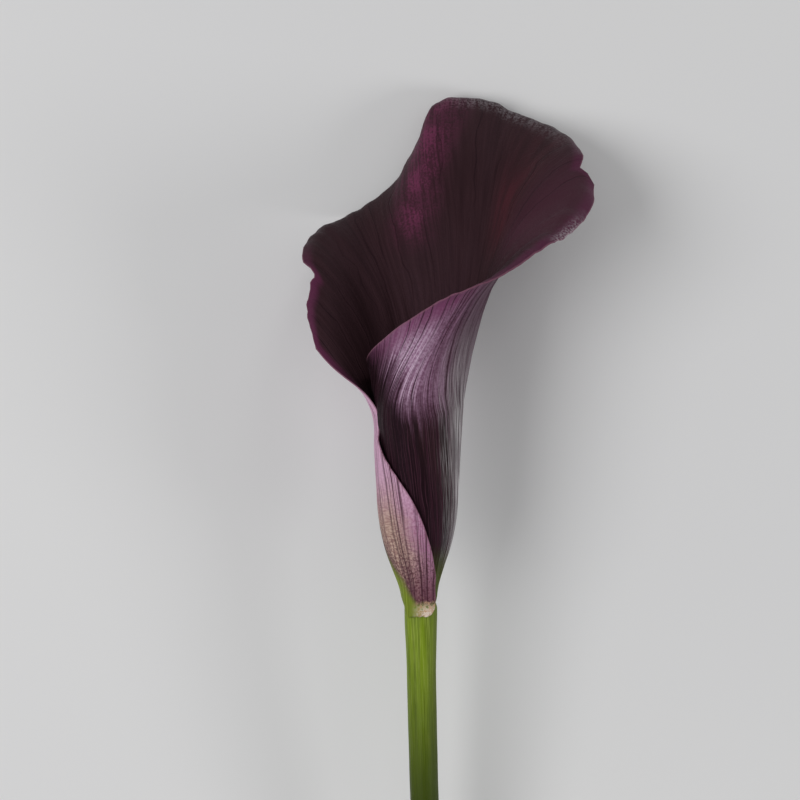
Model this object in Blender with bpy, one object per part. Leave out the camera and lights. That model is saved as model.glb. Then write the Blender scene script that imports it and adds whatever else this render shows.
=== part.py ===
"""Calla lily flower, picked and laid on its back.

The flower is a leafless stem, one spathe wrapped round itself into a funnel, and the
spadix that stands in the funnel's throat.  Each is modelled in the flower's own frame,
in millimetres: X to the right, Y up the flower from the foot of the spathe, and Z out of
the open side of the funnel.  An empty then lays the whole flower down on the ground.
"""

import math

import bpy
import numpy as np

MM = 0.001

# Stem: a rod that bows gently, with a neck that carries the spadix inside the spathe.
STEM_LENGTH = 150.0
STEM_RADIUS = 3.65
STEM_FOOT_RADIUS = 3.2
STEM_NECK_RADIUS = 2.0
STEM_NECK_HEIGHT = 8.7
STEM_BOW_RIGHT = 6.0
STEM_BOW_BACK = 10.0
STEM_BOW_POWER = 1.6
STEM_GAP = 0.3
STEM_ROWS = 26
STEM_SIDES = 20

# Spathe: one sheet whose inner margin lies behind the front fold, and whose outer margin
# crosses the front of the tube.
SPATHE_THICKNESS = 0.8
SPIRAL_STEP = 1.4
SPIRAL_MIDDLE = 0.7
TUBE_CENTRE_X = -0.5
TUBE_CENTRE_RISE = 12.0
THROAT_HEIGHT = 43.5
THROAT_TILT = 4.0
FOOT_MARGINS = (20.0, 402.0)
FOOT_CROWDING = 1.25
TWIST_START = 7.0
MARGIN_SWING = 11.0
MARGIN_SWING_LEAN = 1.25
LIP_RADIUS = 4.5
THROAT_PULL = 1.2
THROAT_TANGENT_STEP = 0.01
OUTWARD_REACH = 2
TUBE_ROWS = 10
LIMB_ROWS = 12
LIP_ROWS = 4
SHEET_COLUMNS = 52

# Height and radius of the tube, seven tenths of the way across the sheet.
TUBE_PROFILE = (
    (0.0, 3.8),
    (5.0, 4.5),
    (10.0, 6.05),
    (14.0, 7.4),
    (19.0, 8.55),
    (24.0, 9.2),
    (30.0, 9.5),
    (39.0, 9.9),
    (50.0, 10.6),
)

# Places along the rim, from the inner margin to the outer one: bearing at the throat in
# degrees (0 front, 90 right, 180 back), place of the rim's crest (x, y, z), how far the
# limb bends outward on its way there, and how far the lip rolls over after it, in degrees.
RIM = (
    (-112, -9.7, 53.6, -8.0, 0, 8),
    (-86, -12.4, 57.6, -1.0, 3, 8),
    (-50, -7.9, 62.7, 8.0, 12, 10),
    (-10, 2.0, 68.5, 13.0, 22, 30),
    (26, 10.4, 73.4, 14.0, 32, 45),
    (53, 17.4, 77.8, 11.0, 38, 50),
    (74, 25.0, 84.6, 7.0, 42, 60),
    (90, 31.6, 90.6, 2.0, 42, 70),
    (104, 35.6, 98.4, -6.0, 40, 80),
    (117, 36.4, 107.2, -14.0, 38, 80),
    (130, 32.4, 113.4, -22.0, 34, 80),
    (145, 23.0, 118.4, -28.0, 30, 85),
    (161, 12.2, 122.2, -29.0, 28, 90),
    (176, 2.6, 119.6, -28.5, 30, 90),
    (186, -0.6, 112.0, -28.0, 34, 85),
    (198, -5.8, 102.4, -28.0, 36, 80),
    (213, -14.4, 95.0, -27.5, 36, 75),
    (230, -22.4, 89.6, -21.0, 34, 65),
    (245, -25.1, 83.0, -13.5, 32, 55),
    (259, -24.7, 75.3, -8.5, 28, 45),
    (274, -24.8, 67.9, -4.5, 22, 40),
    (290, -24.0, 60.2, -1.5, 10, 20),
)

# Spadix: height above its foot and radius, standing on the stem's neck.
SPADIX_FOOT = 9.0
SPADIX_PROFILE = (
    (0.0, 2.6),
    (3.0, 3.3),
    (9.0, 3.9),
    (20.0, 4.0),
    (32.0, 3.6),
    (41.0, 2.8),
    (45.0, 1.8),
    (47.0, 0.7),
)
SPADIX_CROWDING = 1.5
SPADIX_SIDES = 16
SPADIX_ROWS = 22

# Faces that meet at more than this angle keep a sharp edge between them.
SHARP_ANGLE = math.radians(50.0)

# The flower rests on the stem's cut end and on two places of the rolled back rim.
PITCH = math.radians(4.7)
ROLL = math.radians(1.0)


def remove_everything():
    for old in list(bpy.data.objects):
        bpy.data.objects.remove(old)


def ease(share):
    """0 to 1 with level ends."""
    share = np.clip(share, 0.0, 1.0)
    return share * share * (3.0 - 2.0 * share)


def unit(vectors):
    return vectors / np.linalg.norm(vectors, axis=-1, keepdims=True)


def through(knots, values, at):
    """A smooth curve through the values at their knots, read at other places."""
    knots = np.asarray(knots, float)
    values = np.asarray(values, float)
    slopes = np.gradient(values, knots, axis=0)
    left = np.clip(np.searchsorted(knots, at, side="right") - 1, 0, len(knots) - 2)
    step = knots[left + 1] - knots[left]
    share = (at - knots[left]) / step
    if values.ndim > 1:
        step = step[..., None]
        share = share[..., None]
    rest = 1.0 - share
    ends = (1.0 + 2.0 * share) * rest**2 * values[left] + share**2 * (3.0 - 2.0 * share) * values[left + 1]
    turns = share * rest**2 * slopes[left] - share**2 * rest * slopes[left + 1]
    return ends + step * turns


def averaged(vectors, reach):
    """Each vector averaged with its neighbours, so that a kink doesn't show."""
    weights = np.hanning(2 * reach + 3)[1:-1]
    padded = np.pad(vectors, ((reach, reach), (0, 0)), mode="edge")
    return np.stack([np.convolve(padded[:, axis], weights / weights.sum(), "valid") for axis in range(3)], -1)


def tube_ring(share, bearing_throat, across):
    """One row of the sheet in the tube, at a share of the way up to the throat."""
    throat = THROAT_HEIGHT + THROAT_TILT * np.sin(np.radians(bearing_throat))
    height = share * throat
    twist = np.clip((height - TWIST_START) / (throat - TWIST_START), 0.0, 1.0)
    bearing_foot = FOOT_MARGINS[0] + (FOOT_MARGINS[1] - FOOT_MARGINS[0]) * across**FOOT_CROWDING
    swing = MARGIN_SWING * across**2 * np.sin(math.pi * twist**MARGIN_SWING_LEAN) ** 2
    bearing = np.radians(bearing_foot + (bearing_throat - bearing_foot) * twist + swing)
    heights, radii = zip(*TUBE_PROFILE)
    radius = through(heights, radii, height) + SPIRAL_STEP * (across - SPIRAL_MIDDLE)
    centre = TUBE_CENTRE_X * ease(height / TUBE_CENTRE_RISE)
    return np.stack([centre + radius * np.sin(bearing), height, radius * np.cos(bearing)], -1)


def spathe_sheet():
    """The middle surface of the spathe, as a grid: columns across it, rows from foot to lip."""
    rim = np.array(RIM, float)
    bearing = np.linspace(rim[0, 0], rim[-1, 0], SHEET_COLUMNS + 1)
    across = np.linspace(0.0, 1.0, SHEET_COLUMNS + 1)
    station = through(rim[:, 0], rim[:, 1:], bearing)
    crest = station[:, :3]
    bend = np.radians(station[:, 3:4])
    roll = np.radians(station[:, 4:5])

    rows = [tube_ring(share, bearing, across) for share in np.linspace(0.0, 1.0, TUBE_ROWS, endpoint=False)]
    throat = tube_ring(1.0, bearing, across)
    upward = unit(throat - tube_ring(1.0 - THROAT_TANGENT_STEP, bearing, across))
    chord = crest - throat
    length = np.linalg.norm(chord, axis=1, keepdims=True)
    chord = chord / length
    outward = averaged(np.cross(np.gradient(crest, axis=0), chord), OUTWARD_REACH)
    outward = unit(outward - np.sum(outward * chord, axis=1, keepdims=True) * chord)
    along = np.cos(bend) * chord + np.sin(bend) * outward
    over = np.cos(bend) * outward - np.sin(bend) * chord

    for share in np.linspace(0.0, 1.0, LIMB_ROWS, endpoint=False):
        rest = 1.0 - share
        ends = (1.0 + 2.0 * share) * rest**2 * throat + share**2 * (3.0 - 2.0 * share) * crest
        turns = share * rest**2 * THROAT_PULL * upward - share**2 * rest * along
        rows.append(ends + length * turns)
    for share in np.linspace(0.0, 1.0, LIP_ROWS + 1):
        angle = roll * share
        rows.append(crest + LIP_RADIUS * (np.sin(angle) * along + (1.0 - np.cos(angle)) * over))
    return np.stack(rows, axis=1)


def grid_faces(columns, rows, first, flip):
    """Quads over a grid of vertices that starts at index first."""
    faces = []
    for column in range(columns - 1):
        for row in range(rows - 1):
            corner = first + column * rows + row
            quad = (corner, corner + rows, corner + rows + 1, corner + 1)
            faces.append(quad[::-1] if flip else quad)
    return faces


def shell(sheet, thickness):
    """The sheet thickened to both sides, closed all round its edge."""
    columns, rows = sheet.shape[:2]
    normal = unit(np.cross(np.gradient(sheet, axis=0), np.gradient(sheet, axis=1)))
    sides = [sheet + normal * thickness / 2.0, sheet - normal * thickness / 2.0]
    points = np.concatenate([side.reshape(-1, 3) for side in sides])
    far = columns * rows
    faces = grid_faces(columns, rows, 0, False) + grid_faces(columns, rows, far, True)

    edge = [column * rows for column in range(columns)]
    edge += [(columns - 1) * rows + row for row in range(1, rows)]
    edge += [column * rows + rows - 1 for column in range(columns - 2, -1, -1)]
    edge += [row for row in range(rows - 2, 0, -1)]
    for start, end in zip(edge, edge[1:] + edge[:1]):
        faces.append((end, start, far + start, far + end))
    return points, faces


def rod(centres, radii, sides):
    """A round rod along a line of centres, with flat ends."""
    upward = unit(np.gradient(centres, axis=0))
    right = unit(np.cross(upward, np.array([0.0, 0.0, 1.0])))
    front = np.cross(right, upward)
    points = []
    for turn in np.linspace(0.0, 2.0 * math.pi, sides, endpoint=False):
        around = math.cos(turn) * right + math.sin(turn) * front
        points.append(centres + around * radii[:, None])
    rows = len(centres)
    points = np.concatenate(points)
    faces = []
    for side in range(sides):
        here = side * rows
        there = (side + 1) % sides * rows
        faces += [(there + row, here + row, here + row + 1, there + row + 1) for row in range(rows - 1)]
    faces.append([side * rows for side in range(sides)])
    faces.append([side * rows + rows - 1 for side in range(sides - 1, -1, -1)])
    return points, faces


def stem():
    """The scape, from its cut end up to the neck inside the spathe."""
    heights = np.append(np.linspace(-STEM_LENGTH, -STEM_GAP, STEM_ROWS), [0.0, STEM_NECK_HEIGHT])
    down = np.clip(-heights / STEM_LENGTH, 0.0, 1.0)
    radii = STEM_RADIUS + (STEM_FOOT_RADIUS - STEM_RADIUS) * ease(down)
    radii[heights >= 0.0] = STEM_NECK_RADIUS
    bow = down**STEM_BOW_POWER
    centres = np.stack([STEM_BOW_RIGHT * bow, heights, -STEM_BOW_BACK * bow], -1)
    return rod(centres, radii, STEM_SIDES)


def spadix():
    """The finger of tiny flowers, on the axis of the tube."""
    heights, radii = zip(*SPADIX_PROFILE)
    level = np.linspace(0.0, 1.0, SPADIX_ROWS + 1)
    height = heights[-1] * (1.0 - (1.0 - level) ** SPADIX_CROWDING)
    centres = np.stack([0.0 * height, SPADIX_FOOT + height, 0.0 * height], -1)
    return rod(centres, through(heights, radii, height), SPADIX_SIDES)


def plain_material(name, colour, roughness):
    material = bpy.data.materials.new(name)
    material.use_nodes = True
    shader = material.node_tree.nodes["Principled BSDF"]
    shader.inputs["Base Color"].default_value = (*colour, 1.0)
    shader.inputs["Roughness"].default_value = roughness
    shader.inputs["Metallic"].default_value = 0.0
    return material


def make_piece(name, shape, material, parent):
    points, faces = shape
    mesh = bpy.data.meshes.new(name)
    mesh.from_pydata((points * MM).tolist(), [], faces)
    mesh.shade_smooth()
    mesh.set_sharp_from_angle(angle=SHARP_ANGLE)
    mesh.materials.append(material)
    piece = bpy.data.objects.new(name, mesh)
    piece.parent = parent
    bpy.context.scene.collection.objects.link(piece)
    return piece


def lay_down(flower, pieces):
    """Turns the flower onto its back and sets the middle of its underside at the origin."""
    flower.rotation_euler = (PITCH, ROLL, 0.0)
    bpy.context.view_layer.update()
    corners = np.array([piece.matrix_world @ vertex.co for piece in pieces for vertex in piece.data.vertices])
    low = corners.min(axis=0)
    high = corners.max(axis=0)
    flower.location = (-(low[0] + high[0]) / 2.0, -(low[1] + high[1]) / 2.0, -low[2])


def build():
    remove_everything()
    flower = bpy.data.objects.new("flower", None)
    bpy.context.scene.collection.objects.link(flower)
    green = plain_material("stem_green", (0.16, 0.28, 0.04), 0.45)
    purple = plain_material("spathe_purple", (0.09, 0.015, 0.05), 0.5)
    dark = plain_material("spadix_purple", (0.05, 0.015, 0.02), 0.7)
    pieces = [
        make_piece("stem", stem(), green, flower),
        make_piece("spathe", shell(spathe_sheet(), SPATHE_THICKNESS), purple, flower),
        make_piece("spadix", spadix(), dark, flower),
    ]
    lay_down(flower, pieces)


build()
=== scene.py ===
"""Calla lily flower lying on its back: the finished surfaces, materials and studio.

Every piece is shaped in the flower's own frame, in millimetres, as the solid model is: X to
the right, Y up the flower from the foot of the spathe, and Z out of the open side of the
funnel.  POSE then lays the points of each mesh on the ground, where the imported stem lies.
"""

import math

import bpy
import numpy as np
from mathutils import Matrix, Vector


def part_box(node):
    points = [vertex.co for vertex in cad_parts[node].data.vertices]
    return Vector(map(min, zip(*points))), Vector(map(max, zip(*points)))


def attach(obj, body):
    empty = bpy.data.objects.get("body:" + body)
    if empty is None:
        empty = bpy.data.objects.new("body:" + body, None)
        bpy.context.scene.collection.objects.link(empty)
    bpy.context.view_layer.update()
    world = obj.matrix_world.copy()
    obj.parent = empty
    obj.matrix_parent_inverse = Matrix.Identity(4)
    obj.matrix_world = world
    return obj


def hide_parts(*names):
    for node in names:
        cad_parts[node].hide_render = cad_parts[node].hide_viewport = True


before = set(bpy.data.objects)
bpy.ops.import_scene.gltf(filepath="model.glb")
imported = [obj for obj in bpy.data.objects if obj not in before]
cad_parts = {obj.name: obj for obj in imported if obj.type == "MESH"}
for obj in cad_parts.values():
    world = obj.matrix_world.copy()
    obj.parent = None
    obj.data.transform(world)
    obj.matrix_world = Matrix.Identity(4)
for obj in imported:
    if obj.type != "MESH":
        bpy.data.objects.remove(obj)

MM = 0.001
FULL_TURN = 2.0 * math.pi
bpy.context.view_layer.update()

# The solid model's own dimensions, which the finished surfaces follow.  Lengths are in
# millimetres and bearings in degrees: 0 is the front, 90 the right and 180 the back.
PITCH = math.radians(4.7)
ROLL = math.radians(1.0)
STEM_LENGTH = 150.0
STEM_RADIUS = 3.65
STEM_FOOT_RADIUS = 3.2
STEM_NECK_RADIUS = 2.0
STEM_NECK_HEIGHT = 8.7
STEM_GAP = 0.3
STEM_BOW_RIGHT = 6.0
STEM_BOW_BACK = 10.0
STEM_BOW_POWER = 1.6
STEM_SIDES = 20
STEM_ROWS = 26
SPIRAL_STEP = 1.4
SPIRAL_MIDDLE = 0.7
TUBE_CENTRE_X = -0.5
TUBE_CENTRE_RISE = 12.0
THROAT_HEIGHT = 43.5
THROAT_TILT = 4.0
FOOT_MARGINS = (20.0, 402.0)
FOOT_CROWDING = 1.25
TWIST_START = 7.0
MARGIN_SWING = 11.0
MARGIN_SWING_LEAN = 1.25
LIP_RADIUS = 4.5
THROAT_PULL = 1.2
THROAT_TANGENT_STEP = 0.01
OUTWARD_REACH = 2
OUTWARD_COLUMNS = 52

# Height and radius of the tube, seven tenths of the way across the sheet.
TUBE_PROFILE = (
    (0.0, 3.8),
    (5.0, 4.5),
    (10.0, 6.05),
    (14.0, 7.4),
    (19.0, 8.55),
    (24.0, 9.2),
    (30.0, 9.5),
    (39.0, 9.9),
    (50.0, 10.6),
)

# Places along the rim, from the inner margin to the outer one: bearing at the throat, place
# of the rim's crest (x, y, z), how far the limb bends outward on its way there, and how far
# the lip rolls over after it, in degrees.
RIM = (
    (-112, -9.7, 53.6, -8.0, 0, 8),
    (-86, -12.4, 57.6, -1.0, 3, 8),
    (-50, -7.9, 62.7, 8.0, 12, 10),
    (-10, 2.0, 68.5, 13.0, 22, 30),
    (26, 10.4, 73.4, 14.0, 32, 45),
    (53, 17.4, 77.8, 11.0, 38, 50),
    (74, 25.0, 84.6, 7.0, 42, 60),
    (90, 31.6, 90.6, 2.0, 42, 70),
    (104, 35.6, 98.4, -6.0, 40, 80),
    (117, 36.4, 107.2, -14.0, 38, 80),
    (130, 32.4, 113.4, -22.0, 34, 80),
    (145, 23.0, 118.4, -28.0, 30, 85),
    (161, 12.2, 122.2, -29.0, 28, 90),
    (176, 2.6, 119.6, -28.5, 30, 90),
    (186, -0.6, 112.0, -28.0, 34, 85),
    (198, -5.8, 102.4, -28.0, 36, 80),
    (213, -14.4, 95.0, -27.5, 36, 75),
    (230, -22.4, 89.6, -21.0, 34, 65),
    (245, -25.1, 83.0, -13.5, 32, 55),
    (259, -24.7, 75.3, -8.5, 28, 45),
    (274, -24.8, 67.9, -4.5, 22, 40),
    (290, -24.0, 60.2, -1.5, 10, 20),
)

# Spadix: height above its foot and radius.
SPADIX_FOOT = 9.0
SPADIX_PROFILE = (
    (0.0, 2.6),
    (3.0, 3.3),
    (9.0, 3.9),
    (20.0, 4.0),
    (32.0, 3.6),
    (41.0, 2.8),
    (45.0, 1.8),
    (47.0, 0.7),
)

# Grid of the finished spathe.  LIP_START is a share of the way up the limb, SHEET_MIDDLE a
# share of the way across, and EDGE_STEPS the faces that round its edge.
SHEET_COLUMNS = 250
TUBE_ROWS = 64
LIMB_ROWS = 96
LIP_ROWS = 26
LIP_START = 0.9
SHEET_MIDDLE = 0.5
EDGE_STEPS = 6

# Thickness of the finished spathe: at the foot, in the limb and at the edge, and the
# distances over which it changes.
FOOT_THICKNESS = 0.9
LIMB_THICKNESS = 0.65
EDGE_THICKNESS = 0.34
EDGE_TAPER = 7.0
BODY_TAPER = 50.0
FOOT_THINNING = 0.25
FOOT_TAPER = 3.0

# Veins: their count round the whole turn, how unevenly they stand, how much of the sheet's
# twist they follow up the tube, and how they fan out over the front fold.
VEIN_COUNT = 28
VEIN_SPREAD = 0.55
VEIN_LEAN = 0.25
VEIN_FAN = 34.0
VEIN_FAN_END = 60.0
VEIN_FAN_WIDTH = 70.0

# The vein map counts veins one way and centimetres the other.
VEIN_UNIT = 10.0

# Random waves: how many waves a unit holds, and the seed of their phases.
WAVE_BEARING = 100.0
RIM_WAVES = ((3, 5, 9), 3)
RAGGED_WAVES = ((17, 26, 37), 8)
VEIN_WAVES = ((4, 7, 11), 5)
RUFFLE_WAVES = ((5, 8, 12, 17), 11)
SWELL_WAVES_ROUND = ((2, 3, 5), 17)
SWELL_WAVES_UP = ((1, 2, 3), 23)
FOOT_WAVES = ((9, 17, 29), 43)
RIB_WAVES = ((13, 19, 28), 31)
OVAL_WAVES = ((2, 3), 37)
DRIFT_WAVES = ((2, 3, 5), 41)

# Outline of the rim.  Each left notch has a bearing, a reach to its sides and a depth, as a
# share of the limb.  The right one drops in a step and comes back slowly.  Past CORNER_START
# the corner of the left limb is cut round.  REACH_POWER keeps all this near the rim.
LEFT_NOTCHES = (
    (253.0, 5.0, 0.05),
    (258.0, 13.0, 0.035),
)
RIGHT_NOTCH_START = 109.5
RIGHT_NOTCH_STEP = 2.5
RIGHT_NOTCH_END = 127.0
RIGHT_NOTCH_LENGTH = 15.0
RIGHT_NOTCH_DEPTH = 0.065
UNEVEN_START = 50.0
UNEVEN_RISE = 30.0
UNEVEN_DEPTH = 0.004
RAGGED_MIDDLE = 84.0
RAGGED_REACH = 16.0
RAGGED_DEPTH = 0.004
RAGGED_ROUGHNESS = 2.0
CORNER_START = 274.0
CORNER_POWER = 2.5
CORNER_CUT = 0.015
REACH_POWER = 3

# Relief of the spathe: flutes along the veins, ruffles near the rim and swells over the limb.
FLUTE_DEPTH = 0.07
FLUTE_RISE = 12.0
FLUTE_RIM = 8.0
RUFFLE_DEPTH = 0.4
RUFFLE_WIDTH = 16.0
RUFFLE_START = 40.0
RUFFLE_RISE = 40.0
SWELL_DEPTH = 0.5
SWELL_START = 48.0
SWELL_RISE = 20.0
SWELL_LENGTH = 160.0
SWELL_LENGTH_UP = 90.0
SWELL_TURN = 300.0

# The outer margin curls inward between these heights, over this width.
CURL_DEPTH = 2.5
CURL_WIDTH = 8.0
CURL_START = 38.0
CURL_RISE = 8.0
CURL_END = 60.0
CURL_FALL = 12.0

# The lobe at the foot of the outer margin, in shares of the way across, and how the foot
# flares, sinks and rounds off there, in millimetres.
LOBE_START = 0.74
LOBE_EDGE = 0.09
LOBE_CORNER = 0.07
LOBE_FLARE = 0.5
LOBE_FLARE_TOP = 7.0
LOBE_FLARE_HEIGHT = 6.0
FOOT_PINCH = 0.3
FOOT_PINCH_HEIGHT = 3.0
LOBE_DROP = 1.4
CORNER_LIFT = 2.2
FOOT_WAVE = 0.2
DROP_HEIGHT = 7.0

# Map for baking: free border, the space of one side, and the width of one strip of the edge.
BAKE_BORDER = 0.02
BAKE_WIDTH = 0.45
BAKE_HEIGHT = 0.96
BAKE_INNER = 0.5
BAKE_STRIP = 0.0025

# Finish of the stem: its top is inside the foot of the spathe.
STEM_FINE_SIDES = 96
STEM_FINE_ROWS = 220
STEM_TOP = 2.5
STEM_TOP_NARROWING = 0.7
STEM_WAIST = 0.2
STEM_FLARE = 0.42
STEM_FLARE_LENGTH = 16.0
RIB_DEPTH = 0.05
OVAL_DEPTH = 0.06
DRIFT_DEPTH = 0.03
DRIFT_LENGTH = 60.0

# The cut end: share of the radius and depth into the stem, from the middle of the face outward.
CUT_FACE = (
    (0.15, 0.35),
    (0.40, 0.30),
    (0.65, 0.20),
    (0.85, 0.08),
    (0.95, 0.0),
    (0.99, 0.05),
    (1.0, 0.2),
)
CUT_FACE_ROWS = 5

# Finish of the spadix: florets stand where two families of spirals cross.
SPADIX_FINE_SIDES = 132
SPADIX_FINE_ROWS = 260
SPADIX_CROWDING = 1.5
SPIRALS_LEFT = 8
SPIRALS_RIGHT = 13
SPIRAL_PITCH_LEFT = 3.1
SPIRAL_PITCH_RIGHT = 2.3
FLORET_DEPTH = 0.28
FLORET_SINK = 0.6
FLORET_START = 2.0

# Camera: its place in the flower's frame, the width of its field at the flower and the width
# of its sensor, in millimetres, and its near limit in metres.
CAMERA_PLACE = (-4.935, 48.88, 600.0)
FIELD_WIDTH = 188.0
SENSOR_WIDTH = 36.0
CLIP_START = 0.01

# Studio, in metres.  Each softbox has a place, a diameter and a power in watts.
FLOOR_RADIUS = 4.0
FLOOR_SIDES = 96
FADE_START = 0.30
FADE_END = 0.85
FUNNEL_MIDDLE = (0.0, 0.06, 0.03)
FILL_STRENGTH = 0.30
BACKDROP_STRENGTH = 0.56
SOFTBOXES = {
    "key": ((-0.66, -0.05, 0.78), 0.62, 4.5),
    "rim_right": ((0.85, -0.25, 0.45), 0.30, 2.4),
    "rim_top": ((0.30, 0.90, 0.45), 0.30, 0.8),
    "overhead": ((0.10, 0.10, 1.4), 0.8, 0.6),
}


def ease(share):
    """0 to 1 with level ends."""
    share = np.clip(share, 0.0, 1.0)
    return share * share * (3.0 - 2.0 * share)


def unit(vectors):
    return vectors / np.linalg.norm(vectors, axis=-1, keepdims=True)


def through(knots, values, at):
    """A smooth curve through the values at their knots, read at other places."""
    knots = np.asarray(knots, float)
    values = np.asarray(values, float)
    slopes = np.gradient(values, knots, axis=0)
    left = np.clip(np.searchsorted(knots, at, side="right") - 1, 0, len(knots) - 2)
    step = knots[left + 1] - knots[left]
    share = (at - knots[left]) / step
    if values.ndim > 1:
        step = step[..., None]
        share = share[..., None]
    rest = 1.0 - share
    ends = (1.0 + 2.0 * share) * rest**2 * values[left] + share**2 * (3.0 - 2.0 * share) * values[left + 1]
    turns = share * rest**2 * slopes[left] - share**2 * rest * slopes[left + 1]
    return ends + step * turns


def averaged(vectors, reach):
    """Each vector averaged with its neighbours, so that a kink doesn't show."""
    weights = np.hanning(2 * reach + 3)[1:-1]
    padded = np.pad(vectors, ((reach, reach), (0, 0)), mode="edge")
    return np.stack([np.convolve(padded[:, axis], weights / weights.sum(), "valid") for axis in range(3)], -1)


def waves(at, counts, seed):
    """A smooth random wave: sines of the given counts per unit, with seeded phases, within -1 to 1."""
    phases = np.random.default_rng(seed).uniform(0.0, FULL_TURN, len(counts))
    total = sum(np.sin(FULL_TURN * count * at + phase) for count, phase in zip(counts, phases))
    return total / len(counts)


def hump(at, middle, reach):
    """1 at the middle, 0 beyond the reach, with a smooth slope between."""
    return ease(1.0 - np.abs(at - middle) / reach)


# ---------------------------------------------------------------- spathe


def tube_ring(share, bearing_throat, across):
    """One row of the sheet in the tube, at a share of the way up to the throat, and its bearing."""
    throat = THROAT_HEIGHT + THROAT_TILT * np.sin(np.radians(bearing_throat))
    height = share * throat
    twist = np.clip((height - TWIST_START) / (throat - TWIST_START), 0.0, 1.0)
    bearing_foot = FOOT_MARGINS[0] + (FOOT_MARGINS[1] - FOOT_MARGINS[0]) * across**FOOT_CROWDING
    swing = MARGIN_SWING * across**2 * np.sin(math.pi * twist**MARGIN_SWING_LEAN) ** 2
    bearing = bearing_foot + (bearing_throat - bearing_foot) * twist + swing
    heights, radii = zip(*TUBE_PROFILE)
    radius = through(heights, radii, height) + SPIRAL_STEP * (across - SPIRAL_MIDDLE)
    centre = TUBE_CENTRE_X * ease(height / TUBE_CENTRE_RISE)
    turn = np.radians(bearing)
    return np.stack([centre + radius * np.sin(turn), height, radius * np.cos(turn)], -1), bearing


def rim_reach(bearing):
    """How far the limb reaches along its way, 1 at the full rim: less at the two torn notches."""
    left_notch = sum(depth * hump(bearing, middle, reach) for middle, reach, depth in LEFT_NOTCHES)
    step = ease((bearing - RIGHT_NOTCH_START) / RIGHT_NOTCH_STEP)
    return_slope = np.clip((RIGHT_NOTCH_END - bearing) / RIGHT_NOTCH_LENGTH, 0.0, 1.0)
    right_notch = RIGHT_NOTCH_DEPTH * step * return_slope
    turn = bearing / WAVE_BEARING
    uneven = UNEVEN_DEPTH * waves(turn, *RIM_WAVES) * ease((bearing - UNEVEN_START) / UNEVEN_RISE)
    ragged = RAGGED_DEPTH * hump(bearing, RAGGED_MIDDLE, RAGGED_REACH)
    ragged = ragged * (1.0 + RAGGED_ROUGHNESS * waves(turn, *RAGGED_WAVES))
    past_corner = np.clip((bearing - CORNER_START) / (RIM[-1][0] - CORNER_START), 0.0, 1.0)
    rounded_corner = CORNER_CUT * past_corner**CORNER_POWER
    return 1.0 - left_notch - right_notch - rounded_corner + uneven + ragged


def limb_steps():
    """Shares of the way from the throat to the rim, closer together where the lip rolls over."""
    limb = np.linspace(0.0, LIP_START, LIMB_ROWS, endpoint=False)
    lip = np.linspace(LIP_START, 1.0, LIP_ROWS + 1)
    return np.concatenate([limb, lip])


def spathe_sheet():
    """The middle surface as a grid, columns across it and rows from foot to lip, with the vein bearing."""
    rim = np.array(RIM, float)
    across = np.linspace(0.0, 1.0, SHEET_COLUMNS)
    bearing = rim[0, 0] + (rim[-1, 0] - rim[0, 0]) * across
    station = through(rim[:, 0], rim[:, 1:], bearing)
    crest = station[:, :3]
    bend = np.radians(station[:, 3:4])
    roll = np.radians(station[:, 4:5])

    rows = []
    vein_rows = []
    for share in np.linspace(0.0, 1.0, TUBE_ROWS, endpoint=False):
        ring, turned = tube_ring(share, bearing, across)
        rows.append(ring)
        vein_rows.append(turned + VEIN_LEAN * (bearing - turned))
    throat = tube_ring(1.0, bearing, across)[0]
    upward = unit(throat - tube_ring(1.0 - THROAT_TANGENT_STEP, bearing, across)[0])
    chord = crest - throat
    length = np.linalg.norm(chord, axis=1, keepdims=True)
    chord = chord / length
    reach = round(OUTWARD_REACH * SHEET_COLUMNS / OUTWARD_COLUMNS)
    outward = averaged(np.cross(np.gradient(crest, axis=0), chord), reach)
    outward = unit(outward - np.sum(outward * chord, axis=1, keepdims=True) * chord)
    along = np.cos(bend) * chord + np.sin(bend) * outward
    over = np.cos(bend) * outward - np.sin(bend) * chord

    lip_share = LIP_RADIUS * roll / (length + LIP_RADIUS * roll)
    for step in limb_steps():
        reached = step * (1.0 + (rim_reach(bearing)[:, None] - 1.0) * step**REACH_POWER)
        share = np.clip(reached / (1.0 - lip_share), 0.0, 1.0)
        rest = 1.0 - share
        ends = (1.0 + 2.0 * share) * rest**2 * throat + share**2 * (3.0 - 2.0 * share) * crest
        turns = share * rest**2 * THROAT_PULL * upward - share**2 * rest * along
        angle = roll * np.maximum((reached - 1.0 + lip_share) / lip_share, 0.0)
        rolled = LIP_RADIUS * (np.sin(angle) * along + (1.0 - np.cos(angle)) * over)
        rows.append(ends + length * turns + rolled)
        vein_rows.append(bearing - VEIN_FAN * step * ease((VEIN_FAN_END - bearing) / VEIN_FAN_WIDTH))
    return np.stack(rows, axis=1), np.stack(vein_rows, axis=1)


def travelled(sheet, axis):
    """Distance along a grid's lines in one direction, from its first line."""
    steps = np.linalg.norm(np.diff(sheet, axis=axis), axis=-1)
    total = np.cumsum(steps, axis=axis)
    return np.insert(total, 0, 0.0, axis=axis)


def sheet_normal(sheet):
    """Outward normals of the middle surface."""
    return unit(np.cross(np.gradient(sheet, axis=0), np.gradient(sheet, axis=1)))


def vein_phase(vein):
    """Which vein a bearing lies on, a whole number and a half on each vein, unevenly spread."""
    turn = vein / 360.0
    return VEIN_COUNT * turn + VEIN_SPREAD * waves(turn, *VEIN_WAVES)


def flutes(height, vein, from_rim):
    """Shallow grooves between the veins, which fade out at the foot and at the rim."""
    fading = ease(height / FLUTE_RISE) * ease(from_rim / FLUTE_RIM)
    return -FLUTE_DEPTH * np.cos(FULL_TURN * vein_phase(vein)) * fading


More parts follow.
